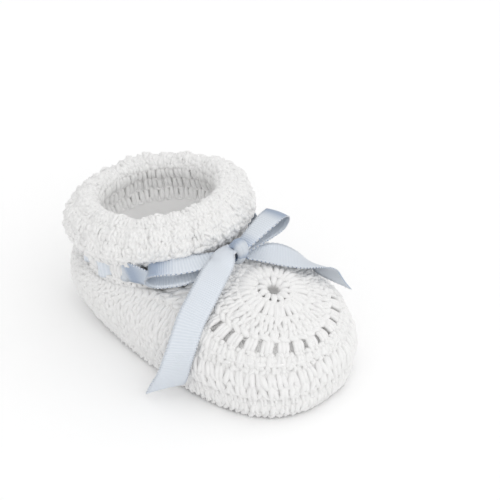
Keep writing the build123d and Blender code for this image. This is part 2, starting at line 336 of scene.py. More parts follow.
class Parts:
    """Arrays of several closed meshes that become one object."""

    def __init__(self):
        self.vertices = []
        self.loops = []
        self.sizes = []
        self.uvs = []
        self.count = 0

    def add(self, vertices, faces, uvs):
        """Faces is (count, corners); uvs is (count, corners, 2)."""
        self.vertices.append(vertices)
        self.add_faces(faces + self.count, uvs)
        self.count += len(vertices)

    def add_faces(self, faces, uvs):
        self.loops.append(faces.ravel())
        self.sizes.append(np.full(len(faces), faces.shape[1]))
        self.uvs.append(uvs.reshape(-1, 2))

    def shell(self, sheet, outer, inner, rounds, rows, u_range=(0.0, 1.0), v_range=(0.0, 1.0), shift=0.0):
        """Closed thin shell over a stretch of a sheet, between two heights.

        Shift is added to the u of its texture places.
        """
        closed = sheet.closed and u_range == (0.0, 1.0)
        u = np.linspace(u_range[0], u_range[1], rounds, endpoint=not closed)[:, None]
        v = np.linspace(v_range[0], v_range[1], rows)[None, :]
        top = sheet.at(u, v, outer).reshape(-1, 3)
        bottom = sheet.at(u, v, inner).reshape(-1, 3)
        faces, places = grid_faces(rounds, rows, closed)
        places = places + np.array([shift, 0.0])
        count = len(top)
        steps = rounds if closed else rounds - 1
        start = np.arange(steps)
        follow = (start + 1) % rounds
        walls = []
        for row in (0, rows - 1):
            a, b = start * rows + row, follow * rows + row
            side = np.stack([a, a + count, b + count, b], axis=1)
            walls.append(side if row == 0 else side[:, ::-1])
        if not closed:
            for turn in (0, rounds - 1):
                a = turn * rows + np.arange(rows - 1)
                side = np.stack([a, a + 1, a + 1 + count, a + count], axis=1)
                walls.append(side if turn == 0 else side[:, ::-1])
        walls = np.concatenate(walls)
        corners = np.concatenate([faces, faces[:, ::-1] + count, walls])
        uvs = np.concatenate([places, places[:, ::-1], np.zeros((len(walls), 4, 2))])
        self.add(np.concatenate([top, bottom]), corners, uvs)

    def strands(self, strands, sides=7, plies=2, ply_depth=0.14, twist=9.0, fluff=0.075, mark=0.0):
        """Tubes round the strands' paths, with twisted plies and an uneven, fluffy surface.

        Mark is added to the v of their texture places, so that a material can tell them apart.
        """
        points = np.concatenate(strands.paths)
        radii = np.concatenate(strands.radii)
        count, segments = points.shape[:2]
        tangents = unit(np.gradient(points, axis=1))
        mean = np.abs(tangents.mean(axis=1))
        reference = np.eye(3)[np.argmin(mean, axis=1)][:, None, :]
        first = unit(np.cross(tangents, reference))
        second = np.cross(tangents, first)
        spin = full_turn(sides)
        t = np.linspace(0, 1, segments)
        phase = chance.uniform(0, 2 * np.pi, (count, 1, 1))
        ply = 1 + ply_depth * np.cos(plies * spin[None, None, :] + twist * t[None, :, None] + phase)
        size = radii[:, :, None] * ply * (1 + chance.normal(0, fluff, ply.shape))
        rings = points[:, :, None, :] + size[..., None] * (
            np.cos(spin)[None, None, :, None] * first[:, :, None, :]
            + np.sin(spin)[None, None, :, None] * second[:, :, None, :])
        clearance = 0.02  # yarn stays above the floor
        rings[..., 2] = np.maximum(rings[..., 2], clearance)
        strand, ring, side = (index.ravel() for index in np.indices((count, segments - 1, sides)))
        base = strand * segments * sides
        after = (side + 1) % sides
        near_ring, far_ring = base + ring * sides, base + (ring + 1) * sides
        quads = np.stack([near_ring + side, near_ring + after, far_ring + after, far_ring + side], axis=1)
        places_u = np.stack([ring, ring, ring + 1, ring + 1], axis=1) / (segments - 1)
        places_v = np.stack([side, side + 1, side + 1, side], axis=1) / sides + mark
        starts = np.arange(count) * segments * sides
        near = starts[:, None] + np.arange(sides)[::-1][None, :]
        far = starts[:, None] + (segments - 1) * sides + np.arange(sides)[None, :]
        caps = np.concatenate([near, far])
        vertices = rings.reshape(-1, 3)
        first_index = self.count
        self.add(vertices, quads, np.stack([places_u, places_v], axis=2))
        self.add_faces(caps + first_index, np.zeros((caps.size, 2)))

    def build(self, name, material):
        vertices = np.concatenate(self.vertices)
        loops = np.concatenate(self.loops)
        sizes = np.concatenate(self.sizes)
        mesh = bpy.data.meshes.new(name)
        mesh.vertices.add(len(vertices))
        mesh.vertices.foreach_set("co", (vertices * METRE).astype(np.float32).ravel())
        mesh.loops.add(len(loops))
        mesh.loops.foreach_set("vertex_index", loops.astype(np.int32))
        mesh.polygons.add(len(sizes))
        mesh.polygons.foreach_set("loop_start", (np.cumsum(sizes) - sizes).astype(np.int32))
        mesh.polygons.foreach_set("use_smooth", np.ones(len(sizes), bool))
        mesh.update(calc_edges=True)
        layer = mesh.uv_layers.new(name="surface")
        layer.data.foreach_set("uv", np.concatenate(self.uvs).astype(np.float32).ravel())
        mesh.validate()
        mesh.materials.append(material)
        made = bpy.data.objects.new(name, mesh)
        bpy.context.scene.collection.objects.link(made)
        return made


def grid_faces(rounds, rows, closed):
    """Quads of a grid, with the corners' (u, v) places."""
    steps = rounds if closed else rounds - 1
    turn, row = (index.ravel() for index in np.indices((steps, rows - 1)))
    after = (turn + 1) % rounds
    first, second = turn * rows + row, after * rows + row
    corners = np.stack([first, second, second + 1, first + 1], axis=1)
    places_u = np.stack([turn, turn + 1, turn + 1, turn], axis=1) / max(steps, 1)
    places_v = np.stack([row, row, row + 1, row + 1], axis=1) / (rows - 1)
    return corners, np.stack([places_u, places_v], axis=2)


class Strands:
    """Collects short lengths of yarn."""

    def __init__(self, segments=8):
        self.segments = segments
        self.paths = []
        self.radii = []

    def add(self, sheet, start, end, heights, radius, bow=0.0, wobble=0.07, taper=0.65):
        """Yarn from start to end, both (u, v) arrays; heights are at its start, middle and end."""
        start_u, start_v = (np.atleast_1d(part).astype(float) for part in start)
        end_u, end_v = (np.atleast_1d(part).astype(float) for part in end)
        start_u, start_v, end_u, end_v = np.broadcast_arrays(start_u, start_v, end_u, end_v)
        t = np.linspace(0, 1, self.segments)[None, :]
        arch = np.sin(np.pi * t)
        u = start_u[:, None] * (1 - t) + end_u[:, None] * t + bow * arch
        v = start_v[:, None] * (1 - t) + end_v[:, None] * t
        lift = heights[0] * (1 - t) + heights[2] * t + (heights[1] - (heights[0] + heights[2]) / 2) * arch
        count = len(start_u)
        lift = lift + chance.normal(0, wobble, (count, 1))
        points = sheet.at(u, v, np.broadcast_to(lift, u.shape))
        points = points + chance.normal(0, wobble * 0.6, (count, 1, 3))
        self.extend(points, radius, taper)

    def extend(self, points, radius, taper=0.65, spread=0.06):
        t = np.linspace(0, 1, points.shape[1])[None, :]
        thickness = taper + (1 - taper) * np.sin(np.pi * t) ** 0.7
        size = radius * (1 + chance.normal(0, spread, (len(points), 1)))
        self.paths.append(points)
        self.radii.append(thickness * size)


# Stitches

def vee_row(strands, sheet, places, width, low, high, radius, rise=0.1, overlap=0.42, wobble=0.11,
            scatter=0.12):
    """Row of V stitches: two legs that meet low, inside the row below, and open upwards."""
    reach = (high - low) * overlap
    shift = chance.normal(0, 0.05, len(places)) * width
    for side in (-1, 1):
        lean = chance.normal(0, scatter, len(places)) * width
        strands.add(sheet, (places + shift - lean + side * width * 0.13, low - reach),
                    (places + shift + lean + side * width * 0.36, high + reach * 0.2),
                    (rise - 0.35, rise + 0.2, rise - 0.22), radius, bow=side * width * 0.06, wobble=wobble)


def vee_rounds(strands, sheet, counts, radius, **looks):
    """Rounds of V stitches over a whole sheet, every other one staggered; counts has a number for each."""
    rows = len(counts)
    for row, count in enumerate(counts):
        places = even_places(count, 0.5 * (row % 2))
        vee_row(strands, sheet, places, 1 / count, row / rows, (row + 1) / rows, radius, **looks)


def post_row(strands, sheet, places, width, low, high, radius, rise=0.1, spread=0.26, end_spread=None):
    """Row of upright stitches: two strands side by side."""
    reach = (high - low) * 0.08
    end_spread = spread if end_spread is None else end_spread
    for side in (-1, 1):
        strands.add(sheet, (places + side * width * spread, low - reach),
                    (places + side * width * end_spread, high + reach),
                    (rise - 0.35, rise + 0.25, rise - 0.35), radius, bow=side * width * 0.03)


def chain_row(strands, sheet, places, width, level, radius, rise=0.3, slant=0.0):
    """Row of linked loops lying along the surface, like the top of a crochet round."""
    strands.add(sheet, (places - width * 0.62, level - slant), (places + width * 0.62, level + slant),
                (rise - 0.4, rise + 0.3, rise - 0.4), radius)


def even_places(count, shift=0.5):
    return (np.arange(count) + shift) / count


# Materials

def set_inputs(node, values):
    for name, value in values.items():
        node.inputs[name].default_value = value
    return node


def shader(name, colour, roughness, specular):
    """New material with a Principled shader; gives the material, its shader, nodes and links."""
    material = bpy.data.materials.new(name)
    material.use_nodes = True
    nodes, links = material.node_tree.nodes, material.node_tree.links
    principled = set_inputs(nodes["Principled BSDF"], {
        "Base Color": (*colour, 1.0), "Roughness": roughness, "Specular IOR Level": specular,
        "Sheen Roughness": 0.5})
    return material, principled, nodes, links


def add_bump(nodes, links, height, principled, strength, distance):
    bump = set_inputs(nodes.new("ShaderNodeBump"), {"Strength": strength, "Distance": distance})
    links.new(height, bump.inputs["Height"])
    links.new(bump.outputs["Normal"], principled.inputs["Normal"])


def yarn_material():
    """Matt white cotton with fine fibres."""
    material, principled, nodes, links = shader("white_cotton_yarn", (0.845, 0.842, 0.838), 0.9, 0.12)
    principled.inputs["Sheen Weight"].default_value = 0.1
    fibres = set_inputs(nodes.new("ShaderNodeTexNoise"), {"Scale": 2200.0, "Detail": 2.0})
    place = nodes.new("ShaderNodeTexCoord")
    links.new(place.outputs["Object"], fibres.inputs["Vector"])
    add_bump(nodes, links, fibres.outputs["Fac"], principled, 0.25, 0.0002)
    return material


def mix_colour(nodes, links, factor, colour, other):
    """Mix of a linked colour and another, fixed one; gives the socket of the result."""
    mix = nodes.new("ShaderNodeMix")
    mix.data_type = "RGBA"
    mix.inputs["B"].default_value = (*other, 1.0)
    links.new(factor, mix.inputs["Factor"])
    links.new(colour, mix.inputs["A"])
    return mix.outputs["Result"]


def math_node(nodes, links, operation, value, number):
    node = nodes.new("ShaderNodeMath")
    node.operation = operation
    node.inputs[1].default_value = number
    links.new(value, node.inputs[0])
    return node.outputs["Value"]


def satin_material():
    """Pale-blue satin: ribs across the ribbon with a painted highlight on each, painted shade and painted
    highlight along it, and a beaded selvedge painted paler as a highlight.
    """
    material, principled, nodes, links = shader("blue_satin_ribbon", (0.62, 0.68, 0.77), 0.38, 0.9)
    principled.inputs["Metallic"].default_value = 0.1
    place = nodes.new("ShaderNodeTexCoord")
    ribs = set_inputs(nodes.new("ShaderNodeTexWave"), {"Scale": 28.0, "Distortion": 0.6})
    ribs.bands_direction = "X"
    links.new(place.outputs["UV"], ribs.inputs["Vector"])
    parted = nodes.new("ShaderNodeSeparateXYZ")
    links.new(place.outputs["UV"], parted.inputs["Vector"])
    # Painted shade and painted highlight along each strip: the ramp darkens and lightens the satin by how
    # far along the strip a point lies. The tails are shifted past its end and take its last, lit colour.
    dark, middle, light = (0.30, 0.39, 0.54, 1.0), (0.58, 0.65, 0.74, 1.0), (0.67, 0.72, 0.785, 1.0)
    painted_shading_stops = [(0.0, dark), (0.08, light), (0.20, light), (0.29, dark), (0.36, dark), (0.5, middle),
             (0.75, light), (1.0, light)]
    painted_shading_ramp = nodes.new("ShaderNodeValToRGB")
    ramp = painted_shading_ramp.color_ramp
    ramp.elements[0].color, ramp.elements[1].color = painted_shading_stops[0][1], painted_shading_stops[-1][1]
    for place_along, colour in painted_shading_stops[1:-1]:
        ramp.elements.new(place_along).color = colour
    links.new(parted.outputs["X"], painted_shading_ramp.inputs["Fac"])
    # The beaded selvedge is real; its paler colour is a painted highlight where the edge catches light.
    is_selvedge = math_node(nodes, links, "GREATER_THAN", parted.outputs["Y"], 1.5)
    cloth = mix_colour(nodes, links, is_selvedge, painted_shading_ramp.outputs["Color"], (0.80, 0.84, 0.89))
    # Each rib is painted paler: a painted highlight on the ribs, which are also raised by the bump below.
    rib_highlight_share = math_node(nodes, links, "MULTIPLY", ribs.outputs["Fac"], 0.28)
    cloth = mix_colour(nodes, links, rib_highlight_share, cloth, (0.88, 0.91, 0.95))
    links.new(cloth, principled.inputs["Base Color"])
    add_bump(nodes, links, ribs.outputs["Fac"], principled, 0.6, 0.00015)
    return material


yarn = yarn_material()
satin = satin_material()


def finish_piece(parts, name, node, body="bootie", material=yarn):
    piece = parts.build(name, material)
    if body is not None:
        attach(piece, body)
    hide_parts(node)
    return piece


# Sole

wall_stitches = 84


def level_ring(inset, z, samples):
    """The sole's outline at a height, drawn in by inset."""
    return np.column_stack([even_steps(egg_outline(1.0, 1.0, inset), samples), np.full(samples, z)])


def make_sole():
    """Close rounds that follow the outline, seen underneath and again as the insole."""
    parts, strands = Parts(), Strands(segments=4)
    insets = np.linspace(1.6, half_width + 1.6, 14)
    rings = [level_ring(inset, 0.55, 360) for inset in insets]
    bottom = Sheet(np.swapaxes(np.stack(rings), 0, 1), closed=True, inward=True)
    rows = 8
    counts = []
    for row in range(rows):
        outline = egg_outline(1.0, 1.0, insets[0] + (insets[-1] - insets[0]) * (row / rows))
        length = np.linalg.norm(np.diff(outline, axis=0, append=outline[:1]), axis=1).sum()
        counts.append(int(length / (stitch_width + 0.3)))
    vee_rounds(strands, bottom, counts, yarn_radius * 1.1, rise=0.0)
    parts.strands(strands, sides=5)
    top_rings = [level_ring(inset, sole_thickness, 360) for inset in insets]
    insole = Sheet(np.swapaxes(np.stack(top_rings), 0, 1), closed=True)
    inner = Strands(segments=4)
    vee_rounds(inner, insole, [96 - 9 * row for row in range(rows)], yarn_radius, rise=0.0)
    parts.strands(inner, sides=5)
    parts.shell(insole, 0.0, 0.9 - sole_thickness, 160, 30)
    finish_piece(parts, "sole_rounds", "sole")


def make_edge_braid():
    parts, strands = Parts(), Strands(segments=7)
    levels = [(0.7, 1.3), (1.1, 0.5), (2.6, 0.2), (3.6, 1.5)]
    rings = [level_ring(inset, z, 480) for z, inset in levels]
    edge = Sheet(np.swapaxes(np.stack(rings), 0, 1), closed=True)
    count = 118
    width = 1 / count
    places = even_places(count)
    strands.add(edge, (places - width * 0.75, 0.05), (places + width * 0.75, 0.95), (-0.6, 0.0, -0.6), 0.86,
                taper=0.5)
    parts.strands(strands, sides=9)
    parts.shell(edge, -0.45, -1.6, 160, 6)
    finish_piece(parts, "sole_edge_yarn_braid", "sole_edge_braid")


# Foot wall

wall = wall_sheet()
wall_steps = np.linalg.norm(np.diff(wall.points, axis=1), axis=2).mean(axis=0)
wall_run = np.concatenate([[0], np.cumsum(wall_steps)]) / wall_steps.sum()


def wall_level(share):
    """The wall sheet's v at a share of the wall's height, measured along its surface."""
    return float(np.interp(share, wall_run, np.linspace(0, 1, len(wall_run))))


def round_places(first, last, shift):
    """Places of the stitches of one round that lie between first and last; last may pass 1."""
    places = even_places(wall_stitches, shift)
    places = np.where(places < first, places + 1, np.where(places > first + 1, places - 1, places))
    return np.sort(places[(places >= first) & (places < last)])


def finish_wall(parts, sheet, name, node, first, last, backing):
    parts.shell(sheet, backing, -1.5, int(180 * (last - first)), 24, u_range=(first, last))
    finish_piece(parts, name, node)


def make_heel_wall(first, last):
    """Close rounds of V stitches."""
    parts, strands = Parts(), Strands()
    rows = 10
    for row in range(rows):
        places = round_places(first, last, 0.5 * (row % 2))
        low, high = wall_level(row / rows), wall_level((row + 1) / rows)
        vee_row(strands, wall, places, 1 / wall_stitches, low, high, yarn_radius)
    parts.strands(strands)
    finish_wall(parts, wall, "heel_wall_stitches", "heel_wall", first, last, 0.35)


def toe_tiers(level):
    """The wall in relief: the row with gaps lies deep, the tall row and the top round stand out."""
    v = np.linspace(0, 1, wall.points.shape[1])
    gap_row, top_round = (level[1] + level[2]) / 2, (level[5] + level[6]) / 2
    places = [*level[:2], gap_row, *level[2:6], top_round, level[6]]
    relief = np.interp(v, places, [0.3, 0.1, -0.7, 0.1, 0.9, 0.0, 0.3, 0.6, -0.2])
    return Sheet(wall.points + wall.normals * relief[None, :, None], closed=True)


def make_toe_wall(first, last):
    """From the sole up: a close round, a row with small gaps, two tall rounds and four close ones."""
    parts, strands = Parts(), Strands(segments=7)
    width = 1 / wall_stitches
    level = [wall_level(share) for share in (0.0, 0.15, 0.31, 0.475, 0.64, 0.82, 1.0)]
    tiers = toe_tiers(level)
    straight = round_places(first, last, 0.5)
    staggered = round_places(first, last, 0.0)
    vee_row(strands, tiers, straight, width, level[0], level[1], yarn_radius)
    post_row(strands, tiers, staggered, width, level[1], level[2], 0.62, spread=0.16, rise=0.4)
    chain_row(strands, tiers, staggered, width, level[2], 0.7, rise=0.1, slant=0.006)
    vee_row(strands, tiers, straight, width, level[2], level[3], yarn_radius * 1.2, rise=0.3, overlap=0.3)
    vee_row(strands, tiers, straight, width, level[3], level[4], yarn_radius * 1.2, rise=0.3, overlap=0.3)
    middle = (level[4] + level[5]) / 2
    vee_row(strands, tiers, staggered, width, level[4], middle, yarn_radius)
    vee_row(strands, tiers, straight, width, middle, level[5], yarn_radius)
    chain_row(strands, tiers, staggered, width, level[5], 0.7, rise=0.1, slant=0.006)
    vee_row(strands, tiers, straight, width, level[5], level[6], yarn_radius * 0.95)
    vee_row(strands, tiers, straight, width, level[6] - 0.02, level[6] + 0.01, 0.75, rise=0.2)
    parts.strands(strands)
    finish_wall(parts, tiers, "toe_wall_stitches", "toe_wall", first, last, 0.32)


# Vamp and medallion

vamp_inner, vamp_outer = 0.6, 21.4
vamp = vamp_sheet(vamp_inner, vamp_outer)


def ray(radius):
    """The vamp sheet's v at a distance from the medallion's middle."""
    return (radius - vamp_inner) / (vamp_outer - vamp_inner)


def make_medallion_ring():
    parts, strands = Parts(), Strands(segments=7)
    places = even_places(12)
    strands.add(vamp, (places - 0.008, ray(hole_radius + 0.2)), (places + 0.008, ray(ring_radius)),
                (-0.5, 0.5, -0.4), 0.92, taper=0.6)
    parts.strands(strands, sides=9)
    chains = Strands(segments=5)
    places = even_places(14, 0.2)
    chain_row(chains, vamp, places, 1 / 14, ray(ring_radius + 0.1), 0.75, rise=0.0, slant=0.02)
    parts.strands(chains)
    parts.shell(vamp, -0.4, -1.3, 60, 6, v_range=(ray(hole_radius + 0.4), ray(ring_radius + 1.2)))
    finish_piece(parts, "medallion_ring_yarn", "medallion_ring")


def make_medallion_spokes():
    """Spokes with slots between them, every other slot filled with yarn, then a close round."""
    parts, strands = Parts(), Strands()
    places = even_places(spoke_count) + chance.normal(0, 0.0025, spoke_count)
    slot_end = 10.2
    width = 1 / spoke_count
    post_row(strands, vamp, places, width, ray(ring_radius), ray(slot_end), 0.94, rise=0.1, spread=0.15,
             end_spread=0.25)
    closed = even_places(spoke_count // 2, 0.25)
    slot_start, beyond = ray(ring_radius - 0.3), ray(slot_end + 0.4)
    strands.add(vamp, (closed, slot_start), (closed, beyond), (-0.6, -0.1, -0.4), 0.95)
    vee_row(strands, vamp, places, width, ray(ring_radius + 0.4), ray(7.0), 0.7, rise=0.2)
    parts.strands(strands, sides=8)
    rounds = Strands()
    chain_row(rounds, vamp, even_places(26), 1 / 26, ray(slot_end), 0.8, rise=0.0, slant=0.02)
    vee_row(rounds, vamp, even_places(28), 1 / 28, ray(slot_end), ray(spoke_radius), 0.74)
    parts.strands(rounds)
    parts.shell(vamp, 0.1, -1.3, 120, 8, v_range=(ray(slot_end), ray(spoke_radius)))
    finish_piece(parts, "medallion_spoke_stitches", "medallion_spokes")


def make_medallion_rim():
    parts, strands = Parts(), Strands()
    middle = (spoke_radius + rim_radius) / 2
    vee_row(strands, vamp, even_places(32), 1 / 32, ray(spoke_radius), ray(middle), 0.74, rise=0.25)
    vee_row(strands, vamp, even_places(36, 0.2), 1 / 36, ray(middle), ray(rim_radius - 0.4), 0.74, rise=0.3)
    chain_row(strands, vamp, even_places(38), 1 / 38, ray(rim_radius - 0.3), 0.95, rise=0.05, slant=0.025)
    parts.strands(strands)
    parts.shell(vamp, 0.3, -1.3, 160, 8, v_range=(ray(spoke_radius + 0.1), ray(rim_radius - 0.1)))
    finish_piece(parts, "medallion_rim_stitches", "medallion_rim")


def make_filet_posts():
    parts, strands = Parts(), Strands()
    angles = filet_step * (np.arange(filet_count) - (filet_count - 1) / 2) / (2 * np.pi)
    for offset in (-1, 0, 1):
        turn = angles + offset * 0.95 / (2 * np.pi * 18.3)
        low, high = ray(rim_radius - 0.2), ray(filet_radius + 0.4)
        strands.add(vamp, (turn, low), (turn, high), (-0.5, 0.25, -0.5), 0.72, taper=0.8)
    parts.strands(strands)
    finish_piece(parts, "vamp_filet_stitches", "vamp_filet_posts")


def instep_sheet():
    """Patch from the medallion's rear edge to the ankle, and the radius at which each ray ends."""
    angles = np.linspace(filet_reach, 2 * np.pi - filet_reach, 121)[:, None]
    radii = np.linspace(rim_radius, 44, 140)
    points = vamp_point(angles, radii)
    near_ring = np.linalg.norm(points[..., :2] - ankle_centre[:2], axis=-1) < ankle_radius + 0.6
    past_side = np.abs(points[..., 1]) > half_width * 0.86
    reach = radii[np.maximum(np.argmax(near_ring | past_side, axis=1), 3)]
    share = np.linspace(0, 1, 24)
    radius = rim_radius * (1 - share) + reach[:, None] * share
    return Sheet(vamp_point(angles, radius), closed=False, inward=True), reach


def make_instep():
    parts, strands = Parts(), Strands(segments=5)
    patch, reach = instep_sheet()
    row_height = 2.4
    rows = int((reach.max() - rim_radius) / row_height) + 1
    for row in range(rows):
        low_radius = rim_radius + row * row_height
        arc = (2 * np.pi - 2 * filet_reach) * (low_radius + row_height / 2)
        count = int(arc / stitch_width)
        places = even_places(count)
        here = np.interp(places, np.linspace(0, 1, len(reach)), reach)
        low = (low_radius - rim_radius) / (here - rim_radius)
        high = low + row_height / (here - rim_radius)
        keep = low < 0.97
        if keep.any():
            high = np.minimum(high[keep], 1.0)
            vee_row(strands, patch, places[keep], 1 / count, low[keep], high, yarn_radius)
    parts.strands(strands)
    parts.shell(patch, 0.25, -1.4, 90, 14)
    finish_piece(parts, "instep_stitches", "heel_wall")


# Ankle casing

casing = ankle_sheet([(ankle_radius, height) for height in
                      (-casing_reach - 2, -casing_reach, 0, casing_reach, casing_reach + 2)])
post_half = post_half_height / (2 * casing_reach)


def make_casing_band(name, node, low, high):
    parts, strands = Parts(), Strands()
    count = 50
    vee_row(strands, casing, even_places(count), 1 / count, low, high, yarn_radius)
    chain_row(strands, casing, even_places(count), 1 / count, low, yarn_radius * 0.8)
    chain_row(strands, casing, even_places(count), 1 / count, high, yarn_radius * 0.8)
    parts.strands(strands)
    parts.shell(casing, 0.1, -0.9, 120, 4, v_range=(low, high))
    finish_piece(parts, name, node)


def make_casing_posts():
    """Posts that the ribbon passes, every other one in front of it, and a plain lining behind them."""
    parts, strands = Parts(), Strands(segments=7)
    low, high = 0.5 - post_half, 0.5 + post_half
    for index in range(post_count):
        turn = (post_offset + post_step * index) / (2 * np.pi)
        over_ribbon = index % 2 == 1
        spread = 0.0042 if over_ribbon else 0.0016
        rise = 0.5 if over_ribbon else -0.2
        for offset in ((-3, -1, 1, 3) if over_ribbon else (-1, 1)):
            place = np.array([turn + offset * spread])
            heights = (rise - 0.5, rise, rise - 0.5)
            strands.add(casing, (place, low - 0.05), (place, high + 0.05), heights, 0.7)
    parts.strands(strands)
    front = front_half_angle / 360
    parts.shell(casing, 0.35, -1.4, 60, 4, u_range=(-front, front), v_range=(low - 0.1, high + 0.1))
    parts.shell(casing, -2.4, -3.0, 120, 6, v_range=(0.0, high + 0.1))
    finish_piece(parts, "casing_post_stitches", "casing_posts")


# Cuff

def make_cuff_inner():
    """Tiers of ribs on the inside of the ankle opening."""
    parts, strands = Parts(), Strands()
    profile = [(19.4, 0.0), (19.7, 2.0), (20.4, 5.4), (19.6, 9.4), (17.6, 13.4), (19.9, 15.6)]
    sheet = ankle_sheet(profile, lump=0.25, inward=True)
    count = 40
    width = 1 / count
    tiers = 3
    for tier in range(tiers):
        low, high = tier / tiers, (tier + 1) / tiers
        places = even_places(count, 0.5 * (tier % 2))
        post_row(strands, sheet, places, width, low, high, 0.82, rise=0.5, spread=0.2)
        chain_row(strands, sheet, even_places(count), width, low, 0.6, rise=0.2, slant=0.01)
    parts.strands(strands)
    parts.shell(sheet, 0.35, -0.7, 160, 18)
    finish_piece(parts, "cuff_inner_ribs", "cuff_inner")


cuff_columns = 52


def make_puffed_cuff(name, node, profile, tiers, depth, rows, shell_rows, notch=0.0):
    """Tiers of plump puffs, covered with close rounds of small V stitches."""
    parts, strands = Parts(), Strands(segments=5)
    sheet = ankle_sheet(profile, rounds=720, lump=0.5, notch=notch, inward=True)
    sheet = with_puffs(sheet, cuff_columns, tiers, depth)
    vee_rounds(strands, sheet, [cuff_columns * 2] * rows, 0.62, overlap=0.35, wobble=0.14, scatter=0.22)
    parts.strands(strands, sides=6)
    parts.shell(sheet, 0.3, -1.2, 6 * cuff_columns, shell_rows)
    finish_piece(parts, name, node)


def make_cuff_fold():
    profile = [(19.6, 10.4), (17.7, 13.2), (19.8, 15.6), (22.8, 13.9), (25.0, 11.4)]
    make_puffed_cuff("cuff_fold_stitches", "cuff_fold", profile, 2, 0.5, 6, 16, notch=1.6)


def make_cuff_outer():
    """The turned-down side, with its lower edge curled under to the casing."""
    profile = [(20.4, 15.6), (22.8, 13.9), (25.2, 11.6), (26.0, 9.4), (26.0, 7.0), (25.6, 6.0), (24.4, 5.0),
               (22.3, 4.1), (21.0, 4.1)]
    make_puffed_cuff("cuff_outer_puffs", "cuff_outer", profile, 3, 1.1, 10, 28)


def make_shell_edging():
    parts, strands = Parts(), Strands()
    sheet = ankle_sheet([(26.8, 9.4), (26.6, 7.6), (26.4, 6.2), (26.2, 4.8)], inward=True)
    count = 30
    width = 1 / count
    places = even_places(count)
    for leaf in np.linspace(-1, 1, 5):
        depth = 0.3 + 0.7 * math.cos(leaf)
        strands.add(sheet, (places + leaf * width * 0.14, -0.2), (places + leaf * width * 0.40, depth),
                    (0.0, 0.6, 0.1), 0.62, taper=0.55)
    parts.strands(strands)
    parts.shell(sheet, 0.0, -0.8, 120, 4, v_range=(0.0, 0.4))
    finish_piece(parts, "cuff_shell_edging_yarn", "cuff_shell_edging")


# Ribbon

def ribbon_sheet(stations, samples=90, across_samples=11, cup=0.5):
    """Strip through (centre, width direction, width) stations, hollow across.

    A station's fourth value, where it has one, is its own hollow; below zero the middle stands up.
    """
    rows = np.array([(*centre, *unit(np.array(side, float)), width, *(own_cup or [cup]))
                     for centre, side, width, *own_cup in stations])
    rows = np.vstack([2 * rows[0] - rows[1], rows, 2 * rows[-1] - rows[-2]])
    dense = smooth_through(rows[:, None, :], samples)[:, 0, :]
    centre, side, width, hollow = dense[:, :3], dense[:, 3:6], dense[:, 6], dense[:, 7]
    along = unit(np.gradient(centre, axis=0))
    side = unit(side - along * (side * along).sum(axis=1, keepdims=True))
    normal = np.cross(along, side)
    s = np.linspace(-1, 1, across_samples)
    points = centre[:, None, :] + side[:, None, :] * (s[None, :] * width[:, None] / 2)[..., None]
    points = points + normal[:, None, :] * (hollow[:, None] * (s ** 2 - 0.33)[None, :])[..., None]
    return Sheet(points, closed=False)


def cut_slanting(sheet, slant):
    """The same strip with its far end cut on the slant: one edge longer, the other shorter."""
    rounds, across_samples = sheet.points.shape[:2]
    along = unit(np.gradient(sheet.points, axis=0))
    share = np.clip((np.linspace(0, 1, rounds) - 0.6) / 0.4, 0, 1)[:, None, None]
    s = np.linspace(-1, 1, across_samples)[None, :, None]
    return Sheet(sheet.points + along * (share * s * slant), closed=False)


def add_ribbon(parts, sheet, rounds=120, shift=0.0):
    parts.shell(sheet, ribbon_thickness / 2, -ribbon_thickness / 2, rounds, 9, shift=shift)
    length = np.linalg.norm(np.diff(sheet.points[:, 0], axis=0), axis=1).sum()
    count = max(int(length / 0.8), 2)
    beads = Strands(segments=4)
    step = 0.3 / length
    places = (np.arange(count) + 0.5) / count
    for v in (0.0, 1.0):
        beads.add(sheet, (places - step, v), (places + step, v), (0, 0, 0), 0.26, wobble=0.0, taper=0.5)
    # Mark 2.0 lets the satin paint the beads paler, as a painted highlight.
    parts.strands(beads, sides=6, ply_depth=0.0, fluff=0.0, mark=2.0)


def finish_ribbon(parts, name, node, body):
    return finish_piece(parts, name, node, body, material=satin)


def make_ribbon_band():
    parts = Parts()
    stations = []
    for degrees in np.linspace(front_half_angle, 360 - front_half_angle, 160):
        angle = math.radians(degrees)
        wave = math.cos((angle - post_offset) * math.pi / post_step)
        radius = ankle_radius + 0.1 + 1.7 * wave
        axis = ankle_point(angle, radius, 1.0) - ankle_point(angle, radius, 0.0)
        stations.append((ankle_point(angle, radius, 0.0), axis, 4.9 + 0.7 * wave))
    add_ribbon(parts, ribbon_sheet(stations, samples=360, cup=0.2), rounds=360)
    finish_ribbon(parts, "ribbon_band_strip", "ribbon_band", "bootie")


def make_ribbon_front(side, lift, name, node):
    """Free stretch from the casing to the knot; lift tucks its upper edge higher under the cuff."""
    parts = Parts()
    knot = knot_centre
    stations = [
        (ankle_point(side * math.radians(78), ankle_radius - 0.6, 0.4), (0, 0, 1), 5.0),
        (ankle_point(side * math.radians(72), ankle_radius + 1.6, 0.6 + lift), (0, side * 0.3, 1),
         6.0 + 2 * lift),
        ((-6.2, side * 21.9, 28.2 + 1.5 * lift), (0.2, side * 0.3, 1), 6.0 + 2.6 * lift),
        ((0.6, side * 19.6, 28.6 + lift), (0.3, side * 0.3, 1), 4.2 + 2.4 * lift),
        ((6.6, side * 13.8, 29.6 + 0.8 * lift), (0, 0, 1), 2.4 + 1.6 * lift),
        ((knot[0] + 0.2, side * 1.2, knot[2] - 1.8), (0, 0, 1), 4.0),
    ]
    add_ribbon(parts, ribbon_sheet(stations, cup=0.5))
    finish_ribbon(parts, name, node, "bootie")


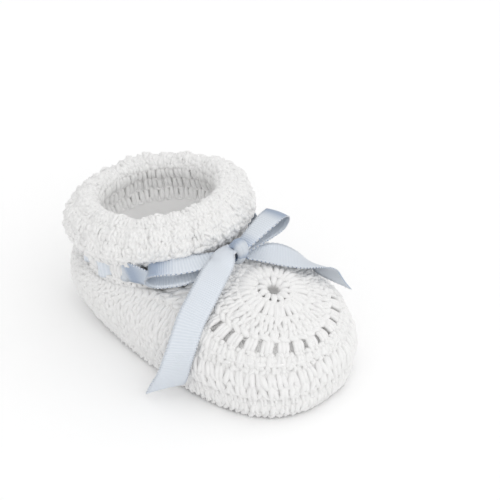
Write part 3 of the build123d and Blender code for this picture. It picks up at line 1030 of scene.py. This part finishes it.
def make_knot():
    """Tight wrap round the bow's middle, pulled into lengthwise gathers."""
    parts = Parts()
    turn = full_turn(72)[:, None]
    across = np.linspace(-1, 1, 21)[None, :]
    gathers = 0.26 * np.cos(across * 11.0 + 0.6 * np.sin(turn))
    belly = np.sqrt(np.maximum(1 - (across * 0.82) ** 2, 0.05))
    deep = (2.0 + gathers) * belly
    tall = (3.1 + gathers) * belly
    x = deep * np.cos(turn)
    z = tall * np.sin(turn)
    y = across * 1.6 * (1 + 0.06 * np.sin(2 * turn))
    lean = math.radians(14)
    forward, up = x * math.cos(lean) + z * math.sin(lean), z * math.cos(lean) - x * math.sin(lean)
    wrap = Sheet(knot_centre + np.stack([forward, y, up], axis=2), closed=True)
    parts.shell(wrap, 0.0, -0.9, 72, 21)
    finish_ribbon(parts, "ribbon_knot_wrap", "ribbon_knot", "bootie")


def from_ankle(x, y, lean):
    """Direction away from the ankle's axis at (x, y), rising by lean."""
    outward = unit(np.array([x - ankle_centre[0], y, 0.0]))
    return outward + np.array([0.0, 0.0, lean])


def loop_stations(spine, fold_radius, spread):
    """Out along the top of the spine, round the fold and back underneath; spread opens the loop's mouth."""
    up = np.array([0.0, 0.0, 1.0])
    top = [(np.array(centre) + up * gap, np.array(across) + up * spread, width)
           for centre, across, gap, width in spine]
    bottom = [(np.array(centre) - up * gap, np.array(across) - up * spread, width)
              for centre, across, gap, width in reversed(spine)]
    last = np.array(spine[-1][0])
    run = unit(last - np.array(spine[-2][0]))
    across, width = spine[-1][1], spine[-1][3]
    fold = [(last + fold_radius * (run * math.cos(turn) + up * math.sin(turn)), across, width)
            for turn in np.radians([40, 0, -40])]
    return top + fold + bottom


def finish_moving(parts, name, node):
    """A strip of the bow, attached to no body, with its transform baked into its mesh."""
    piece = finish_ribbon(parts, name, node, None)
    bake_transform(piece)


def make_loop(name, node, spine, fold_radius, spread):
    parts = Parts()
    strip = ribbon_sheet(loop_stations(spine, fold_radius, spread), samples=140, cup=0.3)
    add_ribbon(parts, strip, rounds=140)
    finish_moving(parts, name, node)


def make_tail(name, node, slant, stations):
    parts = Parts()
    strip = ribbon_sheet(stations, samples=140, cup=0.6)
    # Shift 1.0 moves the tail past the satin's painted shade bands, so the whole tail takes their last, lit
    # colour.
    add_ribbon(parts, cut_slanting(strip, slant), rounds=140, shift=1.0)
    finish_moving(parts, name, node)


# Build everything

# The wall is parted into heel and toe where the CAD's toe wall begins.
instep_x = node_box("toe_wall")[0][0]
belly_row = wall.points[: wall.points.shape[0] // 2, 20]
split = float(np.argmin(np.abs(belly_row[:, 0] - instep_x))) / wall.points.shape[0]

make_sole()
make_edge_braid()
make_heel_wall(split, 1 - split)
make_toe_wall(1 - split, 1 + split)
make_medallion_ring()
make_medallion_spokes()
make_medallion_rim()
make_filet_posts()
make_instep()
make_casing_band("casing_lower_stitches", "casing_lower_band", 0.0, 0.5 - post_half)
make_casing_posts()
make_casing_band("casing_upper_stitches", "casing_upper_band", 0.5 + post_half, 1.0)
make_cuff_inner()
make_cuff_fold()
make_cuff_outer()
make_shell_edging()
make_ribbon_band()
make_ribbon_front(-1, 1.0, "ribbon_front_right_strip", "ribbon_front_right")
make_ribbon_front(1, 0.0, "ribbon_front_left_strip", "ribbon_front_left")
make_knot()
right_spine = [((x, y, z), from_ankle(x, y, -0.2), gap, width) for x, y, z, gap, width in (
    (11.4, -1.8, 34.4, 0.5, 2.6),
    (9.3, -9.0, 34.0, 1.1, 5.2),
    (6.2, -14.9, 33.6, 1.6, 7.2),
    (2.2, -19.4, 33.0, 1.8, 7.6),
    (0.0, -21.3, 32.7, 1.4, 7.4),
)]
left_across = (0.99, 0.11, 0.07)
left_spine = [
    ((12.2, 1.3, 35.6), left_across, 0.5, 4.6),
    ((12.3, 6.6, 37.1), left_across, 1.3, 6.2),
    ((12.4, 12.0, 38.6), left_across, 1.8, 7.4),
    ((12.4, 14.6, 39.3), left_across, 1.6, 7.8),
]
make_loop("bow_loop_right_strip", "bow_loop_right", right_spine, 1.4, 0.05)
make_loop("bow_loop_left_strip", "bow_loop_left", left_spine, 1.6, 0.1)
facing = (0.9, 0.36, -0.12)
make_tail("ribbon_tail_right_strip", "ribbon_tail_right", -4.6, [
    ((11.4, -1.2, 36.2), (1, 0.05, -0.1), 3.4, 0.4),
    ((13.0, -6.0, 38.2), (0.9, 0.4, 0), 5.4, -0.7),
    ((14.9, -9.3, 37.2), facing, 7.0, -0.6),
    ((15.2, -12.8, 34.4), facing, 7.8, -0.4),
    ((15.8, -17.6, 30.4), facing, ribbon_width, -0.3),
    ((16.2, -22.8, 25.0), facing, ribbon_width, -0.2),
    ((16.6, -27.4, 16.8), facing, ribbon_width, 0.2),
    ((15.6, -29.4, 10.2), (0.88, 0.4, -0.2), ribbon_width, 0.3),
    ((13.8, -30.8, 4.8), (0.85, 0.45, -0.25), ribbon_width, 0.3),
])
make_tail("ribbon_tail_left_strip", "ribbon_tail_left", 4.2, [
    ((14.0, 1.2, 33.9), (-0.6, 0.8, 0), 4.2, 0.5),
    ((18.2, 8.2, 32.8), (-0.66, 0.64, 0.36), 7.0, 0.3),
    ((23.4, 13.6, 30.7), (-0.70, 0.68, -0.08), ribbon_width, -0.5),
    ((26.6, 16.8, 28.6), (-0.54, 0.52, -0.66), ribbon_width, -0.8),
    ((28.8, 19.4, 26.4), (-0.38, 0.36, -0.85), ribbon_width * 0.92, -0.6),
    ((31.8, 22.6, 23.2), (-0.28, 0.26, -0.92), ribbon_width * 0.6, -0.3),
])


# Floor, light and camera

def add_floor():
    bpy.ops.mesh.primitive_plane_add(size=6.0, location=(0, 0, 0))
    floor = bpy.context.object
    floor.name = "floor"
    material = shader("white_floor", (0.99, 0.99, 0.99), 0.9, 0.1)[0]
    floor.data.materials.append(material)


def put_in_scene(name, data, place, facing):
    """New object at a place, looking along facing."""
    made = bpy.data.objects.new(name, data)
    made.location = place
    made.rotation_euler = facing.to_track_quat("-Z", "Y").to_euler()
    bpy.context.scene.collection.objects.link(made)
    return made


def add_light(name, place, target, size, power):
    data = bpy.data.lights.new(name, "AREA")
    data.size = size
    data.energy = power
    put_in_scene(name, data, place, Vector(target) - Vector(place))


def add_glow(name, place, radius, power):
    """Small soft light that brightens the bootie's inside."""
    data = bpy.data.lights.new(name, "POINT")
    data.shadow_soft_size = radius
    data.energy = power
    put_in_scene(name, data, place, Vector((0, 0, -1)))


def add_world(low, high, towards):
    """Soft daylight from all round, brighter from one side."""
    world = bpy.data.worlds.new("studio")
    world.use_nodes = True
    nodes, links = world.node_tree.nodes, world.node_tree.links
    nodes["Background"].inputs["Color"].default_value = (1.0, 1.0, 1.0, 1.0)
    place = nodes.new("ShaderNodeTexCoord")
    facing = nodes.new("ShaderNodeVectorMath")
    facing.operation = "DOT_PRODUCT"
    facing.inputs[1].default_value = Vector(towards).normalized()
    brightness = set_inputs(nodes.new("ShaderNodeMapRange"), {
        "From Min": -1.0, "From Max": 1.0, "To Min": low, "To Max": high})
    links.new(place.outputs["Generated"], facing.inputs[0])
    links.new(facing.outputs["Value"], brightness.inputs["Value"])
    links.new(brightness.outputs["Result"], nodes["Background"].inputs["Strength"])
    bpy.context.scene.world = world


def add_camera():
    azimuth, elevation = math.radians(44), math.radians(35)
    level = math.cos(elevation)
    back = Vector((math.sin(azimuth) * level, -math.cos(azimuth) * level, math.sin(elevation)))
    right = Vector((math.cos(azimuth), math.sin(azimuth), 0))
    up = back.cross(right)
    middle = Vector((0, 0, 0.020))
    aim = middle + right * 0.01207 + up * 0.00776
    data = bpy.data.cameras.new("camera")
    data.lens = 125.3
    data.sensor_width = 36.0
    data.clip_start = 0.01
    bpy.context.scene.camera = put_in_scene("camera", data, aim + back * 0.5, -back)


add_floor()
add_world(0.55, 1.13, (0.62, 0.0, 0.68))
add_glow("toe_glow", (0.022, 0, 0.014), 0.009, 0.0026)
add_glow("ankle_glow", (-0.016, 0, 0.022), 0.011, 0.0024)
add_light("key", (0.55, -0.15, 0.60), (0, 0, 0.02), 0.45, 0.4)
add_light("top", (-0.1, 0.1, 0.8), (0, 0, 0), 0.8, 0.12)
add_camera()
bpy.context.scene.view_settings.view_transform = "Standard"
bpy.context.scene.view_settings.look = "None"
